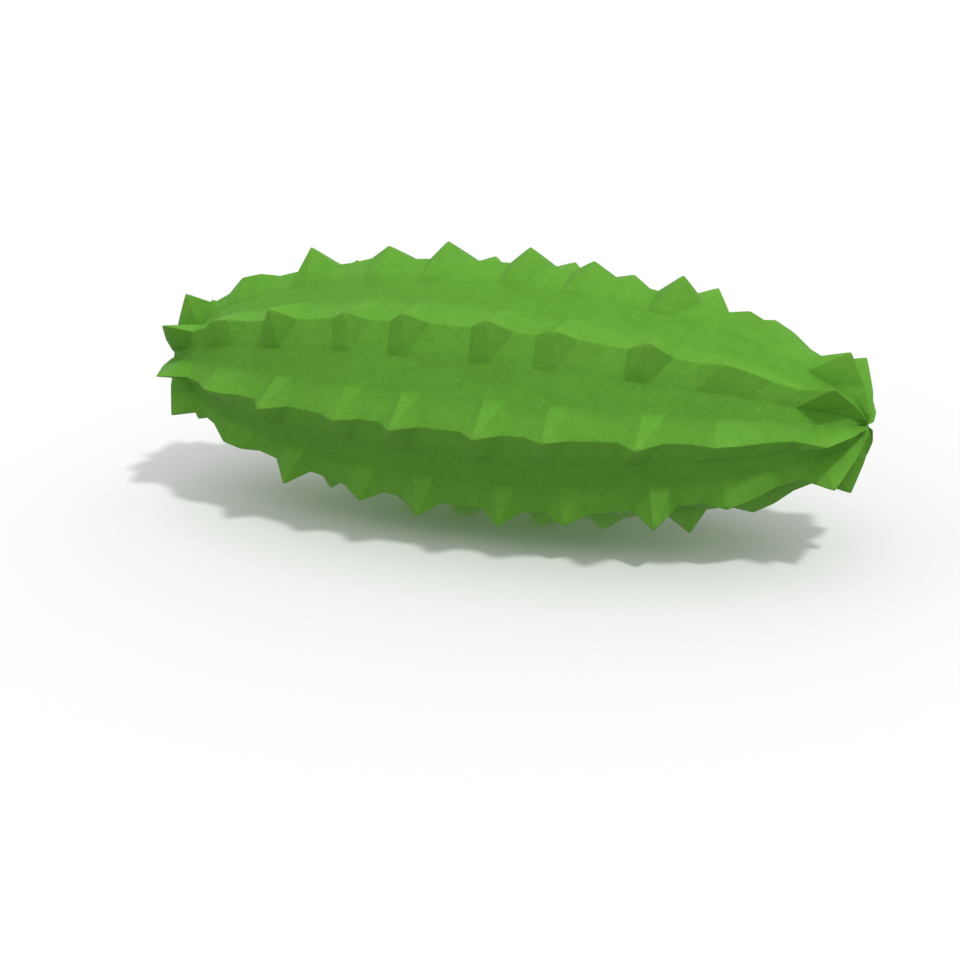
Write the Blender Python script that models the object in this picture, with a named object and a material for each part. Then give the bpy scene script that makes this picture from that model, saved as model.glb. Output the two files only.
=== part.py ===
"""A bitter melon, whole, as it lies on a table: a spindle fruit with eight lengthwise ridges of pointed
teeth.

Metres, +Z up. The fruit's axis is level and along X, with one ridge straight down. The origin is on the
surface that the fruit lies on, under its middle.
"""

import math

import bmesh
import bpy
from mathutils import Matrix, Vector

# Driving dimensions
LENGTH = 0.150  # from end to end
CREST_RADIUS = 0.0257  # from the axis to the crest of a ridge at the middle, between two teeth
PROFILE_POWER = 0.46  # a smaller power gives the spindle blunter ends
RIDGES = 8
RIDGE_RELIEF = 0.0017  # how far a crest stands out over the sides of its ridge
TEETH_PER_RIDGE = 10
TOOTH_HEIGHT = 0.0052
TOOTH_REACH = 0.0033  # along the crest, from the point of a tooth to its foot
TOOTH_LEAN = 0.8  # 0 stands the teeth straight out from the axis, and 1 stands them square to the skin
SECOND_TOOTH_SHIFT = 0.0004  # how much nearer to the -X end than evenly spaced its second teeth stand
END_STRETCH = 0.0014  # how much further out the crown of teeth stands at the +X end than at the other
STRETCH_POWER = 3  # the stretch grows with this power of the distance from the middle
FLAT_DEPTH = 0.0020  # what is flattened off the lowest teeth, where the fruit lies on them

# The surface is laid out in rings along the axis and columns round it. A ridge takes three columns: its
# crest, and the two sides of the flat panel that runs to the next ridge.
RINGS = 34
COLUMNS_PER_RIDGE = 3

# The skin inside the crown of teeth at each end, from the dimple in the middle of the end outward: how far in
# from the end of LENGTH each row of points lies, and how far from the axis, on the crests and beside them
END_CRESTS = ((0.0014, 0.0), (0.0007, 0.0019), (0.0018, 0.0071))
END_SIDES = ((0.0014, 0.0), (0.0015, 0.0012), (0.0032, 0.0053))

COLUMNS = RIDGES * COLUMNS_PER_RIDGE
END_ROWS = len(END_CRESTS)
ROWS = RINGS - 2 + 2 * END_ROWS  # from the middle of one end to the middle of the other
RING_STEP = LENGTH / RINGS
FIRST_TOOTH = RING_STEP  # from the end of the fruit
TOOTH_STEP = (LENGTH - 2 * FIRST_TOOTH) / (TEETH_PER_RIDGE - 1)

SKIN_COLOR = (0.105, 0.325, 0.035, 1.0)
SKIN_ROUGHNESS = 0.55


def crest_radius(ring):
    """The radius of a crest between its teeth, on one ring."""
    return CREST_RADIUS * math.sin(math.pi * ring / RINGS) ** PROFILE_POWER


def outline_angle(ring):
    """How steeply the spindle narrows towards the +X end, on one ring."""
    widening = crest_radius(ring) * PROFILE_POWER * math.pi / LENGTH / math.tan(math.pi * ring / RINGS)
    return -math.atan(widening)


def tooth_rise(ring):
    """How far the teeth lift a crest on one ring: full at the middle of a tooth, nothing past its foot."""
    along = ring * RING_STEP - FIRST_TOOTH
    number = round(along / TOOTH_STEP)
    place = number * TOOTH_STEP - (SECOND_TOOTH_SHIFT if number == 1 else 0.0)
    return TOOTH_HEIGHT * max(0.0, 1 - abs(along - place) / TOOTH_REACH)


def body_outline(ring, on_crest):
    """How far along the axis and out from it one ring lies, on a crest or beside it.

    The points of full teeth stand on a spindle, and all other points lie under it, in the direction that the
    teeth have there.
    """
    depth = TOOTH_HEIGHT + (-tooth_rise(ring) if on_crest else RIDGE_RELIEF)
    lean = TOOTH_LEAN * outline_angle(ring)
    along = ring * RING_STEP - LENGTH / 2 - depth * math.sin(lean)
    return along, crest_radius(ring) + TOOTH_HEIGHT - depth * math.cos(lean)


def end_outline(row, on_crest):
    """The same for a row inside one of the crowns of teeth."""
    outline = END_CRESTS if on_crest else END_SIDES
    inset, radius = outline[min(row, ROWS - row)]
    return math.copysign(LENGTH / 2 - inset, row - ROWS / 2), radius


def end_stretch(ring):
    """How far one ring lies further towards +X than it would without the stretch of that end."""
    share = (ring - RINGS / 2) / (RINGS / 2 - 1)
    return END_STRETCH * min(max(share, 0.0), 1.0) ** STRETCH_POWER


def skin_point(row, column):
    """Where one row meets one column, with the axis at z = 0 and column 0 straight down."""
    ring = row - END_ROWS + 1
    on_crest = column % COLUMNS_PER_RIDGE == 0
    if 0 < ring < RINGS:
        along, radius = body_outline(ring, on_crest)
    else:
        along, radius = end_outline(row, on_crest)
    x = along + end_stretch(ring) - END_STRETCH / 2
    angle = 2 * math.pi * column / COLUMNS
    return Vector((x, radius * math.sin(angle), -radius * math.cos(angle)))


def rest_height():
    """The height of the axis over the surface, once the lowest teeth are flattened."""
    lowest = min(skin_point(row, 0).z for row in range(ROWS))
    return -lowest - FLAT_DEPTH


def shape_rows(bm):
    """Moves each point of a unit sphere, with its poles on X, to its place on the fruit."""
    for vert in bm.verts:
        pole_angle = math.acos(max(-1.0, min(1.0, -vert.co.x)))
        turn = math.atan2(vert.co.y, -vert.co.z) / (2 * math.pi)
        row = round(ROWS * pole_angle / math.pi)
        column = round(COLUMNS * turn) % COLUMNS
        vert.co = skin_point(row, column)


def flatten_lowest_teeth(bm):
    """Cuts the lowest teeth off level and closes the cuts, then sets the fruit down on z = 0."""
    height = rest_height()
    cut = bmesh.ops.bisect_plane(
        bm,
        geom=bm.verts[:] + bm.edges[:] + bm.faces[:],
        plane_co=(0, 0, -height),
        plane_no=(0, 0, -1),
        clear_outer=True,
    )
    rims = [item for item in cut["geom_cut"] if isinstance(item, bmesh.types.BMEdge)]
    flats = bmesh.ops.holes_fill(bm, edges=rims)["faces"]
    bmesh.ops.triangulate(bm, faces=flats)
    bmesh.ops.translate(bm, verts=bm.verts, vec=(0, 0, height))


def skin_material():
    """Matt to satin green skin."""
    material = bpy.data.materials.new("skin")
    material.use_nodes = True
    shader = material.node_tree.nodes["Principled BSDF"]
    shader.inputs["Base Color"].default_value = SKIN_COLOR
    shader.inputs["Roughness"].default_value = SKIN_ROUGHNESS
    shader.inputs["Metallic"].default_value = 0.0
    return material


def bitter_melon(collection):
    """The whole fruit, one solid."""
    bm = bmesh.new()
    bmesh.ops.create_uvsphere(
        bm,
        u_segments=COLUMNS,
        v_segments=ROWS,
        radius=1,
        matrix=Matrix.Rotation(math.pi / 2, 4, "Y"),
    )
    shape_rows(bm)
    bmesh.ops.triangulate(bm, faces=bm.faces, quad_method="FIXED")
    flatten_lowest_teeth(bm)
    bmesh.ops.recalc_face_normals(bm, faces=bm.faces)
    mesh = bpy.data.meshes.new("bitter_melon")
    bm.to_mesh(mesh)
    bm.free()
    mesh.materials.append(skin_material())
    fruit = bpy.data.objects.new("bitter_melon", mesh)
    collection.objects.link(fruit)
    return fruit


def main():
    for old in list(bpy.data.objects):
        bpy.data.objects.remove(old)
    collection = bpy.data.collections.new("Bitter melon")
    bpy.context.scene.collection.children.link(collection)
    bitter_melon(collection)


main()
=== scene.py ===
"""The looks of a whole bitter melon: its ridges and teeth in fine relief, its green skin, and a pale studio.

The fruit lies level along X on a floor at z = 0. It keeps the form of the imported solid: a grid of rings along
the axis and columns round it, lifted to teeth along eight crests. Here every edge of the grid is narrowly
rounded, the facets between are divided finely, and the skin gets its small dents, its pebbled grain and its
colours. Metres, +Z up.
"""

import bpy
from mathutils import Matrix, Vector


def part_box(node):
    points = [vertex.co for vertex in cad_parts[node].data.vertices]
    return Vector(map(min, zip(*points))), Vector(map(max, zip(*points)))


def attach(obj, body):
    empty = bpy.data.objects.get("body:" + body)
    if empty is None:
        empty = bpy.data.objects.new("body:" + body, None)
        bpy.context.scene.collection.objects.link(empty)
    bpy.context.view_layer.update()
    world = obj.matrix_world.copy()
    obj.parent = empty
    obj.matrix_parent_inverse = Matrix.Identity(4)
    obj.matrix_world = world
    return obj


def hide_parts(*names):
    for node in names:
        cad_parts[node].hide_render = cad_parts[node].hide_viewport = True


bl_info = {
    "name": "Bitter melon",
    "version": (1, 0, 0),
    "blender": (4, 5, 0),
    "location": "3D View > Sidebar > Bitter melon",
    "description": "Makes a ridged and toothed bitter melon with its skin, and a pale studio round it",
    "category": "Add Mesh",
}

import math

import bmesh
import bpy
from bpy.props import FloatProperty, FloatVectorProperty, IntProperty, PointerProperty
from mathutils import Matrix, Vector, noise

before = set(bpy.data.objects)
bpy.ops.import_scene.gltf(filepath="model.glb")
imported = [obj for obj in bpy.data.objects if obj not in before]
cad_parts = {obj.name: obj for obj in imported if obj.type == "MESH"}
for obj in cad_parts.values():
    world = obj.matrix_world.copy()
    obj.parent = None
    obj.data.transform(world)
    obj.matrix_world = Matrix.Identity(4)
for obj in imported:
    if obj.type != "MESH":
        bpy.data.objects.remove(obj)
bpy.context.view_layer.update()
NODE_LOW, NODE_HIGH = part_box("bitter_melon")

BODY = "root"
NODE = "bitter_melon"

# The surface is laid out in rings along the axis and columns round it. A ridge takes three columns: its
# crest, and the two sides of the flat panel that runs to the next ridge.
RINGS = 34
COLUMNS_PER_RIDGE = 3

# The skin inside the crown of teeth at each end, from the dimple in the middle of the end outward: how far in
# from the end of the fruit each row of points lies, and how far from the axis, on the crests and beside them
END_CRESTS = ((0.0014, 0.0), (0.0007, 0.0019), (0.0018, 0.0071))
END_SIDES = ((0.0014, 0.0), (0.0015, 0.0012), (0.0032, 0.0053))
END_ROWS = len(END_CRESTS)
ROWS = RINGS - 2 + 2 * END_ROWS  # from the middle of one end to the middle of the other

PEBBLE_REACH = 0.7  # of the distance between two swellings, from the middle of one to its foot
FINE_DENT_SHARE = 0.5  # how deep the finer dents are, next to the wide ones
FINE_DENT_SCALE = 2  # how many times narrower they are
TOOTH_POINT_RISE = 4  # how far a tooth's point stands out, in ridge reliefs
# Below the panel share the green darkens towards the groove green, partly as painted shade, and towards the
# crest share it lightens, partly as a painted highlight.
PANEL_SHARE = 0.12  # of that rise, where the skin has its panel green
CREST_SHARE = 0.35  # of that rise, where the skin has its crest green

# The scales of the skin's patterns, in repeats a metre
MOTTLE_SCALE = 90
STREAK_SCALE = 700
STREAK_STRETCH = 0.08  # their scale along the fruit, as a share of that across it, so that they are long
FLECK_SCALE = 620
PATCH_SCALE = 240
GLOSS_SCALE = 300
GRAIN_SCALE = 1400

FLECK_CORE = 0.10  # of the distance between two pores, how far from its middle a pore is fully pale
FLECK_EDGE = 0.22  # and how far from its middle it ends
NOISE_DETAIL = 3
NOISE_LOW = 0.25  # most of a noise lies between these two
NOISE_HIGH = 0.75
HORIZON_BLUR = 0.1  # sine of the elevation over which the light from below turns into that from above

# The Mix node has a set of sockets for each kind of value, and these are the ones of its colours
MIX_FIRST = 6
MIX_SECOND = 7
MIX_RESULT = 2


class FruitSizes(bpy.types.PropertyGroup):
    """The fruit's form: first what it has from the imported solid, and from Divisions on what is finer."""

    length: FloatProperty(
        name="Length",
        description="From end to end",
        default=NODE_HIGH.x - NODE_LOW.x,
        unit="LENGTH",
    )
    crest_radius: FloatProperty(
        name="Crest radius",
        description="From the axis to the crest of a ridge at the middle, between two teeth",
        default=0.0257,
        unit="LENGTH",
    )
    profile_power: FloatProperty(
        name="Profile power",
        description="A smaller power gives the spindle blunter ends",
        default=0.46,
    )
    ridges: IntProperty(
        name="Ridges",
        description="How many ridges run along the fruit",
        default=8,
        min=3,
    )
    ridge_relief: FloatProperty(
        name="Ridge relief",
        description="How far a crest stands out over the sides of its ridge",
        default=0.0017,
        unit="LENGTH",
    )
    teeth: IntProperty(
        name="Teeth",
        description="How many teeth stand along one ridge",
        default=10,
        min=2,
    )
    tooth_height: FloatProperty(
        name="Tooth height",
        description="From the crest to the point of a full tooth",
        default=0.0052,
        unit="LENGTH",
    )
    tooth_reach: FloatProperty(
        name="Tooth reach",
        description="Along the crest, from the point of a tooth to its foot",
        default=0.0033,
        unit="LENGTH",
    )
    tooth_lean: FloatProperty(
        name="Tooth lean",
        description="0 stands the teeth straight out from the axis, and 1 stands them square to the skin",
        default=0.8,
        subtype="FACTOR",
    )
    end_stretch: FloatProperty(
        name="End stretch",
        description="How much further out the crown of teeth stands at the +X end than at the other",
        default=0.0014,
        unit="LENGTH",
    )
    stretch_power: FloatProperty(
        name="Stretch power",
        description="The stretch grows with this power of the distance from the middle",
        default=3,
        min=1,
    )
    second_tooth_shift: FloatProperty(
        name="Second tooth shift",
        description="How far the second teeth from the -X end stand nearer to it than even spacing puts them",
        default=0.0004,
        unit="LENGTH",
    )
    axis_height: FloatProperty(
        name="Axis height",
        description="From the floor to the axis, which settles how much of the lowest teeth is flattened",
        default=NODE_HIGH.z - (NODE_HIGH.y - NODE_LOW.y) / 2,
        unit="LENGTH",
    )
    divisions: IntProperty(
        name="Divisions",
        description="Into how many pieces each long edge of a facet is divided",
        default=8,
        min=1,
        max=8,
    )
    edge_width: FloatProperty(
        name="Edge width",
        description="How far into each facet its rounded edge reaches",
        default=0.00016,
        unit="LENGTH",
    )
    rounding: FloatProperty(
        name="Rounding",
        description="How strongly the edges and the points of the teeth are rounded",
        default=0.2,
        min=0.0,
        max=1.0,
        subtype="FACTOR",
    )
    dent_depth: FloatProperty(
        name="Dent depth",
        description="How deep the soft unevenness of the panels is",
        default=0.00010,
        unit="LENGTH",
    )
    dent_width: FloatProperty(
        name="Dent width",
        description="How wide one soft dent is",
        default=0.0055,
        unit="LENGTH",
    )
    pebble_height: FloatProperty(
        name="Pebble height",
        description="How far the small round swellings of the skin stand out",
        default=0.00005,
        unit="LENGTH",
    )
    pebble_width: FloatProperty(
        name="Pebble width",
        description="How far apart the small round swellings of the skin are",
        default=0.0024,
        unit="LENGTH",
    )


class SkinLook(bpy.types.PropertyGroup):
    """The colours and gloss of the skin."""

    # The groove green is darker partly as the skin's own darker green low between the ridges and partly as
    # painted shade in those hollows.
    groove: FloatVectorProperty(
        name="Groove",
        description="Green of the skin low down between two ridges",
        default=(0.100, 0.300, 0.030),
        subtype="COLOR",
        size=3,
    )
    panel: FloatVectorProperty(
        name="Panel",
        description="Green of the skin over most of the fruit",
        default=(0.114, 0.332, 0.035),
        subtype="COLOR",
        size=3,
    )
    # The crest green is lighter partly as the skin's own colour and partly as a painted highlight along the
    # crests and teeth.
    crest: FloatVectorProperty(
        name="Crest",
        description="Green of the skin on crests and teeth",
        default=(0.116, 0.338, 0.035),
        subtype="COLOR",
        size=3,
    )
    point: FloatVectorProperty(
        name="Point",
        description="Green of the skin on the points of the teeth",
        default=(0.136, 0.350, 0.040),
        subtype="COLOR",
        size=3,
    )
    fleck: FloatVectorProperty(
        name="Fleck",
        description="Colour of the pale pores",
        default=(0.24, 0.46, 0.11),
        subtype="COLOR",
        size=3,
    )
    fleck_strength: FloatProperty(
        name="Fleck strength",
        description="How clearly the pale pores show",
        default=0.35,
        min=0.0,
        max=1.0,
        subtype="FACTOR",
    )
    mottle: FloatProperty(
        name="Mottle",
        description="How much the broad patches of the skin differ in brightness",
        default=0.04,
        min=0.0,
        max=1.0,
        subtype="FACTOR",
    )
    streaks: FloatProperty(
        name="Streaks",
        description="How much the lengthwise streaks and the small swellings differ in brightness",
        default=0.03,
        min=0.0,
        max=1.0,
        subtype="FACTOR",
    )
    grain_depth: FloatProperty(
        name="Grain depth",
        description="How deep the finest grain of the skin is",
        default=0.00006,
        unit="LENGTH",
    )
    roughness: FloatProperty(
        name="Roughness",
        description="How dull the skin is",
        default=0.52,
        min=0.0,
        max=1.0,
        subtype="FACTOR",
    )
    gloss_change: FloatProperty(
        name="Gloss change",
        description="How much the roughness differs from spot to spot",
        default=0.06,
        min=0.0,
        max=0.3,
        subtype="FACTOR",
    )
    specular: FloatProperty(
        name="Specular",
        description="How strongly the skin mirrors its surroundings",
        default=0.04,
        min=0.0,
        max=1.0,
        subtype="FACTOR",
    )


class StudioLook(bpy.types.PropertyGroup):
    """The floor, the lights and the camera."""

    floor_color: FloatVectorProperty(
        name="Floor",
        description="Colour of the floor",
        default=(0.80, 0.80, 0.80),
        subtype="COLOR",
        size=3,
    )
    floor_size: FloatProperty(
        name="Floor size",
        description="Length of one side of the floor",
        default=40.0,
        unit="LENGTH",
    )
    sky_strength: FloatProperty(
        name="Sky strength",
        description="Brightness of the even white light from above the horizon",
        default=0.87,
    )
    ground_strength: FloatProperty(
        name="Ground strength",
        description="Brightness of the even white light from below the horizon, which the floor lets through",
        default=0.52,
    )
    key_strength: FloatProperty(
        name="Key strength",
        description="Brightness of the key light",
        default=1.43,
    )
    key_softness: FloatProperty(
        name="Key softness",
        description="How wide the key light looks from the fruit, which softens its shadow",
        default=math.radians(5),
        subtype="ANGLE",
    )
    key_azimuth: FloatProperty(
        name="Key azimuth",
        description="Where the key light stands round the fruit, from +X towards +Y",
        default=math.radians(-25),
        subtype="ANGLE",
    )
    key_elevation: FloatProperty(
        name="Key elevation",
        description="How high the key light stands over the floor",
        default=math.radians(60),
        subtype="ANGLE",
    )
    camera_place: FloatVectorProperty(
        name="Camera place",
        description="Where the camera stands, from the middle of the fruit's axis",
        default=(0.1936, -0.3932, 0.1452),
        subtype="TRANSLATION",
        size=3,
    )
    camera_azimuth: FloatProperty(
        name="Camera azimuth",
        description="How far the camera is turned to the left from looking along +Y",
        default=math.radians(26.86),
        subtype="ANGLE",
    )
    camera_pitch: FloatProperty(
        name="Camera pitch",
        description="How far the camera looks down",
        default=math.radians(20.54),
        subtype="ANGLE",
    )
    camera_roll: FloatProperty(
        name="Camera roll",
        description="How far the camera is turned about its line of sight",
        default=math.radians(3.23),
        subtype="ANGLE",
    )
    camera_view: FloatProperty(
        name="Camera view",
        description="The camera's angle of view",
        default=math.radians(23.07),
        subtype="ANGLE",
    )


def crest_radius(sizes, ring):
    """The radius of a crest between its teeth, on one ring."""
    return sizes.crest_radius * math.sin(math.pi * ring / RINGS) ** sizes.profile_power


def outline_angle(sizes, ring):
    """How steeply the spindle narrows towards the +X end, on one ring."""
    widening = crest_radius(sizes, ring) * sizes.profile_power * math.pi / sizes.length
    return -math.atan(widening / math.tan(math.pi * ring / RINGS))


def tooth_rise(sizes, ring):
    """How far the teeth lift a crest on one ring: full at the middle of a tooth, nothing past its foot."""
    ring_step = sizes.length / RINGS
    tooth_step = (sizes.length - 2 * ring_step) / (sizes.teeth - 1)
    along = (ring - 1) * ring_step
    number = round(along / tooth_step)
    place = number * tooth_step - (sizes.second_tooth_shift if number == 1 else 0.0)
    return sizes.tooth_height * max(0.0, 1 - abs(along - place) / sizes.tooth_reach)


def body_outline(sizes, ring, on_crest):
    """How far along the axis and out from it one ring lies, on a crest or beside it.

    The points of full teeth stand on a spindle, and all other points lie under it, in the direction that the
    teeth have there.
    """
    depth = sizes.tooth_height + (-tooth_rise(sizes, ring) if on_crest else sizes.ridge_relief)
    lean = sizes.tooth_lean * outline_angle(sizes, ring)
    along = (ring / RINGS - 0.5) * sizes.length - depth * math.sin(lean)
    return along, crest_radius(sizes, ring) + sizes.tooth_height - depth * math.cos(lean)


def end_outline(sizes, row, on_crest):
    """The same for a row inside one of the crowns of teeth."""
    outline = END_CRESTS if on_crest else END_SIDES
    inset, radius = outline[min(row, ROWS - row)]
    return math.copysign(sizes.length / 2 - inset, row - ROWS / 2), radius


def end_stretch(sizes, ring):
    """How far one ring lies further towards +X than it would without the stretch of that end."""
    share = (ring - RINGS / 2) / (RINGS / 2 - 1)
    return sizes.end_stretch * min(max(share, 0.0), 1.0) ** sizes.stretch_power


def skin_point(sizes, row, column):
    """Where one row meets one column, with column 0 straight down."""
    ring = row - END_ROWS + 1
    on_crest = column % COLUMNS_PER_RIDGE == 0
    if 0 < ring < RINGS:
        along, radius = body_outline(sizes, ring, on_crest)
    else:
        along, radius = end_outline(sizes, row, on_crest)
    x = along + end_stretch(sizes, ring) - sizes.end_stretch / 2
    angle = 2 * math.pi * column / (sizes.ridges * COLUMNS_PER_RIDGE)
    return Vector((x, radius * math.sin(angle), sizes.axis_height - radius * math.cos(angle)))


def skin_rise(sizes, row, column):
    """How far a point stands out, from 0 beside a crest over 1 on it to about 4 on the point of a tooth."""
    if column % COLUMNS_PER_RIDGE != 0:
        return 0.0
    ring = row - END_ROWS + 1
    tooth = tooth_rise(sizes, ring) if 0 < ring < RINGS else 0.0
    return 1 + tooth / sizes.ridge_relief


def coarse_grid(sizes):
    """The fruit as a bmesh of flat facets, made from a unit sphere with its poles on X.

    Each point also stores how far it stands out.
    """
    columns = sizes.ridges * COLUMNS_PER_RIDGE
    bm = bmesh.new()
    rise = bm.verts.layers.float.new("rise")
    bmesh.ops.create_uvsphere(
        bm,
        u_segments=columns,
        v_segments=ROWS,
        radius=1,
        matrix=Matrix.Rotation(math.pi / 2, 4, "Y"),
    )
    for vert in bm.verts:
        pole_angle = math.acos(max(-1.0, min(1.0, -vert.co.x)))
        turn = math.atan2(vert.co.y, -vert.co.z) / (2 * math.pi)
        row = round(ROWS * pole_angle / math.pi)
        column = round(columns * turn) % columns
        vert.co = skin_point(sizes, row, column)
        vert[rise] = skin_rise(sizes, row, column)
    bmesh.ops.triangulate(bm, faces=bm.faces, quad_method="FIXED")
    bmesh.ops.recalc_face_normals(bm, faces=bm.faces)
    return bm, rise


def divide_and_round(bm, sizes):
    """Divides every facet finely and rounds the edges between them.

    A narrow border is first inset in each facet, so that the rounding stays narrow and the facets stay flat.
    """
    corners = set(bm.verts)
    bmesh.ops.inset_individual(bm, faces=bm.faces[:], thickness=sizes.edge_width, use_even_offset=True)
    long_edges = [edge for edge in bm.edges if (edge.verts[0] in corners) == (edge.verts[1] in corners)]
    bmesh.ops.subdivide_edges(bm, edges=long_edges, cuts=sizes.divisions - 1, use_grid_fill=True)
    axes = {"use_axis_x": True, "use_axis_y": True, "use_axis_z": True}
    bmesh.ops.smooth_vert(bm, verts=bm.verts, factor=sizes.rounding, **axes)


def pebble_rise(sizes, place):
    """How far the small swellings lift the skin at a place, from 0 between them to 1 on top of one."""
    distance = noise.voronoi(place / sizes.pebble_width)[0][0]
    return max(0.0, 1 - (distance / PEBBLE_REACH) ** 2)


def dent_skin(bm, sizes, rise):
    """Gives the skin soft dents and small swellings, and sets the lowest teeth flat on the floor.

    They fade out towards the crests, which stay crisp. The skin moves inward, and no point comes out by more
    than a thousandth of a millimetre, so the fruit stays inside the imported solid's box.
    """
    bm.normal_update()
    pebbles = bm.verts.layers.float.new("pebble")
    moves = []
    for vert in bm.verts:
        place = vert.co / sizes.dent_width
        fine = FINE_DENT_SHARE * noise.noise(FINE_DENT_SCALE * place)
        dent = (noise.noise(place) + fine - 1) * sizes.dent_depth
        vert[pebbles] = pebble_rise(sizes, vert.co)
        depth = dent + (vert[pebbles] - 1) * sizes.pebble_height
        moves.append(vert.normal * depth * min(max(1 - vert[rise], 0.0), 1.0))
    for vert, move in zip(bm.verts, moves):
        vert.co += move
        vert.co.z = max(vert.co.z, 0.0)


def add_piece(bm, name):
    """Makes an object of a finished bmesh, with its place in its mesh."""
    mesh = bpy.data.meshes.new(name)
    bm.to_mesh(mesh)
    bm.free()
    piece = bpy.data.objects.new(name, mesh)
    bpy.context.scene.collection.objects.link(piece)
    return piece


def add_node(tree, kind, inputs=None, **settings):
    """Adds one shader node, with its settings and the values or links of its inputs."""
    made = tree.nodes.new(kind)
    for name, value in settings.items():
        setattr(made, name, value)
    for name, value in (inputs or {}).items():
        if isinstance(value, bpy.types.NodeSocket):
            tree.links.new(value, made.inputs[name])
        else:
            made.inputs[name].default_value = value
    return made


def attribute(tree, name):
    """The value of one of the mesh's attributes."""
    return add_node(tree, "ShaderNodeAttribute", attribute_name=name).outputs["Fac"]


def spread(tree, value, from_low, from_high, low, high):
    """Takes a value that runs between two numbers to one that runs between two others."""
    ends = {"From Min": from_low, "From Max": from_high, "To Min": low, "To Max": high}
    return add_node(tree, "ShaderNodeMapRange", {"Value": value, **ends}).outputs["Result"]


def grain(tree, place, scale, low, high):
    """Noise of a given scale, spread from low to high."""
    pattern = add_node(tree, "ShaderNodeTexNoise", {"Vector": place, "Scale": scale, "Detail": NOISE_DETAIL})
    return spread(tree, pattern.outputs["Fac"], NOISE_LOW, NOISE_HIGH, low, high)


def multiply(tree, first, second):
    """The product of two numbers or sockets."""
    return add_node(tree, "ShaderNodeMath", {0: first, 1: second}, operation="MULTIPLY").outputs[0]


def rise_colors(tree, look):
    """The skin's green by how far it stands out: groove, panel, crest, and the points of the teeth."""
    # Darker low in the grooves and lighter on the crests: partly the skin's own colours, partly painted shade
    # in the grooves and a painted highlight along the crests.
    share = multiply(tree, attribute(tree, "rise"), 1 / TOOTH_POINT_RISE)
    ramp = add_node(tree, "ShaderNodeValToRGB", {"Fac": share})
    stops = ramp.color_ramp.elements
    stops[0].position, stops[0].color = 0.0, (*look.groove, 1)
    stops[1].position, stops[1].color = 1.0, (*look.point, 1)
    for position, color in ((PANEL_SHARE, look.panel), (CREST_SHARE, look.crest)):
        stops.new(position).color = (*color, 1)
    return ramp.outputs["Color"]


def flecks(tree, place, look):
    """Where the skin's pale pores show: small dots, thinned out by a broad noise."""
    cells = add_node(tree, "ShaderNodeTexVoronoi", {"Vector": place, "Scale": FLECK_SCALE})
    dots = spread(tree, cells.outputs["Distance"], FLECK_CORE, FLECK_EDGE, 1.0, 0.0)
    return multiply(tree, dots, grain(tree, place, PATCH_SCALE, 0.0, look.fleck_strength))


def skin_material(look):
    """Green waxy skin: lighter on crests and teeth, mottled, with pale pores and a fine grain."""
    material = bpy.data.materials.new("bitter_melon_skin")
    material.use_nodes = True
    tree = material.node_tree
    place = add_node(tree, "ShaderNodeTexCoord").outputs["Object"]

    stretch = {"Vector": place, "Scale": (STREAK_STRETCH, 1, 1)}
    along = add_node(tree, "ShaderNodeMapping", stretch).outputs["Vector"]
    mottle = grain(tree, place, MOTTLE_SCALE, 1 - look.mottle, 1 + look.mottle)
    streaks = grain(tree, along, STREAK_SCALE, 1 - look.streaks, 1 + look.streaks)
    tops = spread(tree, attribute(tree, "pebble"), 0.0, 1.0, 1 - look.streaks, 1 + look.streaks)
    tone = multiply(tree, multiply(tree, mottle, streaks), tops)
    # The rise colours hold painted shade in the grooves and a painted highlight on the crests, together with
    # the skin's own greens.
    colors = {0: rise_colors(tree, look), "Scale": tone}
    green = add_node(tree, "ShaderNodeVectorMath", colors, operation="SCALE").outputs["Vector"]
    mixed = add_node(tree, "ShaderNodeMix", data_type="RGBA")
    tree.links.new(flecks(tree, place, look), mixed.inputs["Factor"])
    tree.links.new(green, mixed.inputs[MIX_FIRST])
    mixed.inputs[MIX_SECOND].default_value = (*look.fleck, 1)

    fine = grain(tree, place, GRAIN_SCALE, 0.0, 1.0)
    bump = add_node(tree, "ShaderNodeBump", {"Height": fine, "Strength": 1.0, "Distance": look.grain_depth})
    dullest = look.roughness + look.gloss_change
    dullness = grain(tree, place, GLOSS_SCALE, look.roughness - look.gloss_change, dullest)

    shader = tree.nodes["Principled BSDF"]
    tree.links.new(mixed.outputs[MIX_RESULT], shader.inputs["Base Color"])
    tree.links.new(dullness, shader.inputs["Roughness"])
    tree.links.new(bump.outputs["Normal"], shader.inputs["Normal"])
    shader.inputs["Specular IOR Level"].default_value = look.specular
    return material


def floor_material(look):
    """Plain matt white."""
    material = bpy.data.materials.new("studio_floor")
    material.use_nodes = True
    shader = material.node_tree.nodes["Principled BSDF"]
    shader.inputs["Base Color"].default_value = (*look.floor_color, 1)
    shader.inputs["Roughness"].default_value = 1.0
    shader.inputs["Specular IOR Level"].default_value = 0.0
    return material


class BITTERMELON_OT_fruit(bpy.types.Operator):
    """Make the whole fruit with its ridges, teeth and skin"""

    bl_idname = "bitter_melon.fruit"
    bl_label = "Fruit"

    def execute(self, context):
        sizes = context.scene.bitter_melon_sizes
        bm, rise = coarse_grid(sizes)
        divide_and_round(bm, sizes)
        dent_skin(bm, sizes, rise)
        fruit = add_piece(bm, "fruit")
        fruit.data.shade_smooth()
        fruit.data.materials.append(skin_material(context.scene.bitter_melon_skin))
        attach(fruit, BODY)
        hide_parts(NODE)
        return {"FINISHED"}


def add_floor(look):
    """A wide flat floor under the fruit, which throws no light back up at it."""
    bm = bmesh.new()
    bmesh.ops.create_grid(bm, x_segments=1, y_segments=1, size=look.floor_size / 2)
    floor = add_piece(bm, "studio_floor")
    floor.data.materials.append(floor_material(look))
    floor.visible_diffuse = False
    floor.visible_glossy = False


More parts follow.
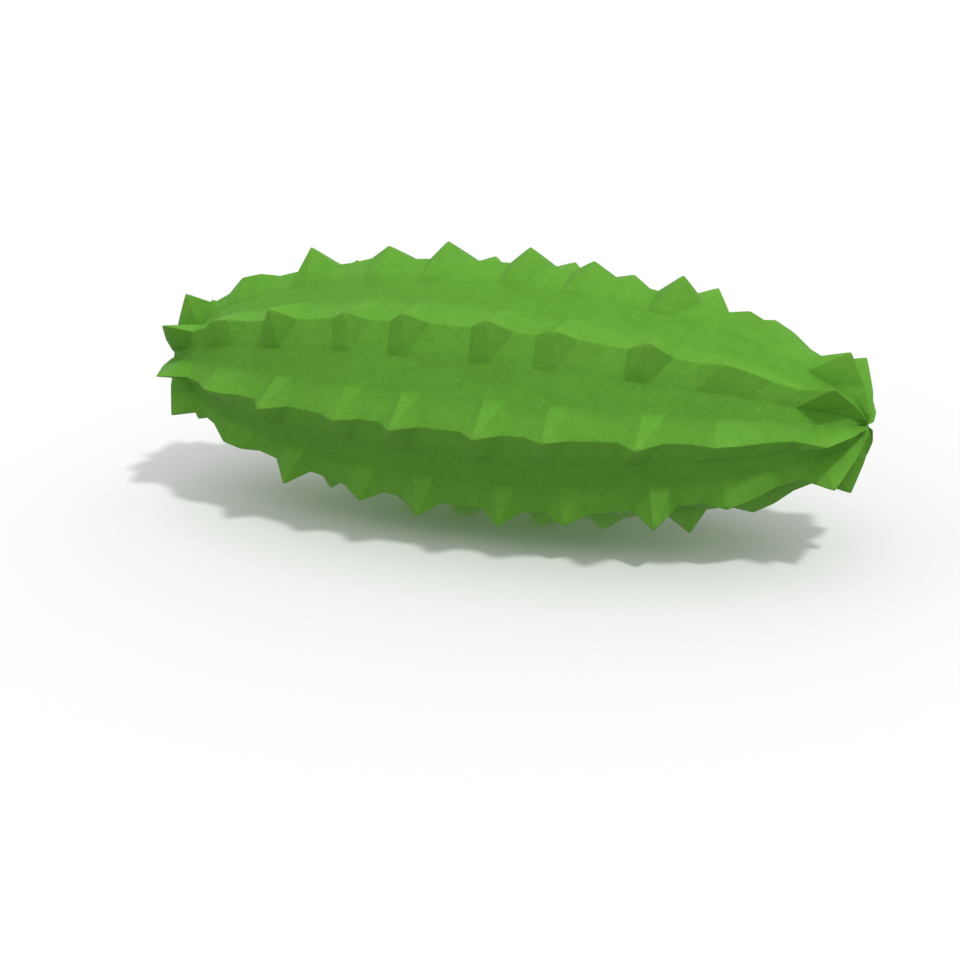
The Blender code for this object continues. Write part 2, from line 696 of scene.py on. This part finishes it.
def add_sun(name, strength, softness, azimuth, elevation):
    """One light from far away, at an azimuth from +X towards +Y and an elevation over the floor."""
    lamp = bpy.data.lights.new(name, "SUN")
    lamp.energy = strength
    lamp.angle = softness
    sun = bpy.data.objects.new(name, lamp)
    turn = Matrix.Rotation(azimuth + math.pi / 2, 4, "Z")
    sun.matrix_world = turn @ Matrix.Rotation(math.pi / 2 - elevation, 4, "X")
    bpy.context.scene.collection.objects.link(sun)


def add_lights(look):
    """A key light from high on the right, and even white light from all round that is weaker from below."""
    world = bpy.data.worlds.new("studio_sky")
    world.use_nodes = True
    tree = world.node_tree
    direction = add_node(tree, "ShaderNodeTexCoord").outputs["Generated"]
    height = add_node(tree, "ShaderNodeSeparateXYZ", {"Vector": direction}).outputs["Z"]
    strength = spread(tree, height, -HORIZON_BLUR, HORIZON_BLUR, look.ground_strength, look.sky_strength)
    background = tree.nodes["Background"]
    background.inputs["Color"].default_value = (1, 1, 1, 1)
    tree.links.new(strength, background.inputs["Strength"])
    bpy.context.scene.world = world

    add_sun("key_light", look.key_strength, look.key_softness, look.key_azimuth, look.key_elevation)


def add_camera(look, axis_height):
    """The camera, looking down on the fruit from the front and the right."""
    lens = bpy.data.cameras.new("camera")
    lens.sensor_fit = "AUTO"
    lens.angle = look.camera_view
    camera = bpy.data.objects.new("camera", lens)
    place = Matrix.Translation(Vector(look.camera_place) + Vector((0, 0, axis_height)))
    heading = Matrix.Rotation(look.camera_azimuth, 4, "Z")
    pitch = Matrix.Rotation(math.pi / 2 - look.camera_pitch, 4, "X")
    roll = Matrix.Rotation(-look.camera_roll, 4, "Z")
    camera.matrix_world = place @ heading @ pitch @ roll
    bpy.context.scene.collection.objects.link(camera)
    bpy.context.scene.camera = camera


class BITTERMELON_OT_studio(bpy.types.Operator):
    """Make the floor, the lights and the camera"""

    bl_idname = "bitter_melon.studio"
    bl_label = "Studio"

    def execute(self, context):
        look = context.scene.bitter_melon_studio
        add_floor(look)
        add_lights(look)
        add_camera(look, context.scene.bitter_melon_sizes.axis_height)
        context.scene.view_settings.view_transform = "Standard"
        return {"FINISHED"}


class BITTERMELON_PT_panel(bpy.types.Panel):
    """The sidebar's list of sizes, colours and pieces"""

    bl_idname = "BITTERMELON_PT_panel"
    bl_label = "Bitter melon"
    bl_space_type = "VIEW_3D"
    bl_region_type = "UI"
    bl_category = "Bitter melon"

    def draw(self, context):
        layout = self.layout
        scene = context.scene
        groups = (scene.bitter_melon_sizes, scene.bitter_melon_skin, scene.bitter_melon_studio)
        for group in groups:
            box = layout.box()
            for name in group.__annotations__:
                box.prop(group, name)
        layout.operator(BITTERMELON_OT_fruit.bl_idname)
        layout.operator(BITTERMELON_OT_studio.bl_idname)


CLASSES = (
    FruitSizes,
    SkinLook,
    StudioLook,
    BITTERMELON_OT_fruit,
    BITTERMELON_OT_studio,
    BITTERMELON_PT_panel,
)


def register():
    for cls in CLASSES:
        bpy.utils.register_class(cls)
    bpy.types.Scene.bitter_melon_sizes = PointerProperty(type=FruitSizes)
    bpy.types.Scene.bitter_melon_skin = PointerProperty(type=SkinLook)
    bpy.types.Scene.bitter_melon_studio = PointerProperty(type=StudioLook)


def unregister():
    del bpy.types.Scene.bitter_melon_studio
    del bpy.types.Scene.bitter_melon_skin
    del bpy.types.Scene.bitter_melon_sizes
    for cls in reversed(CLASSES):
        bpy.utils.unregister_class(cls)


def main():
    register()
    bpy.ops.bitter_melon.fruit()
    bpy.ops.bitter_melon.studio()


if __name__ == "__main__":
    main()
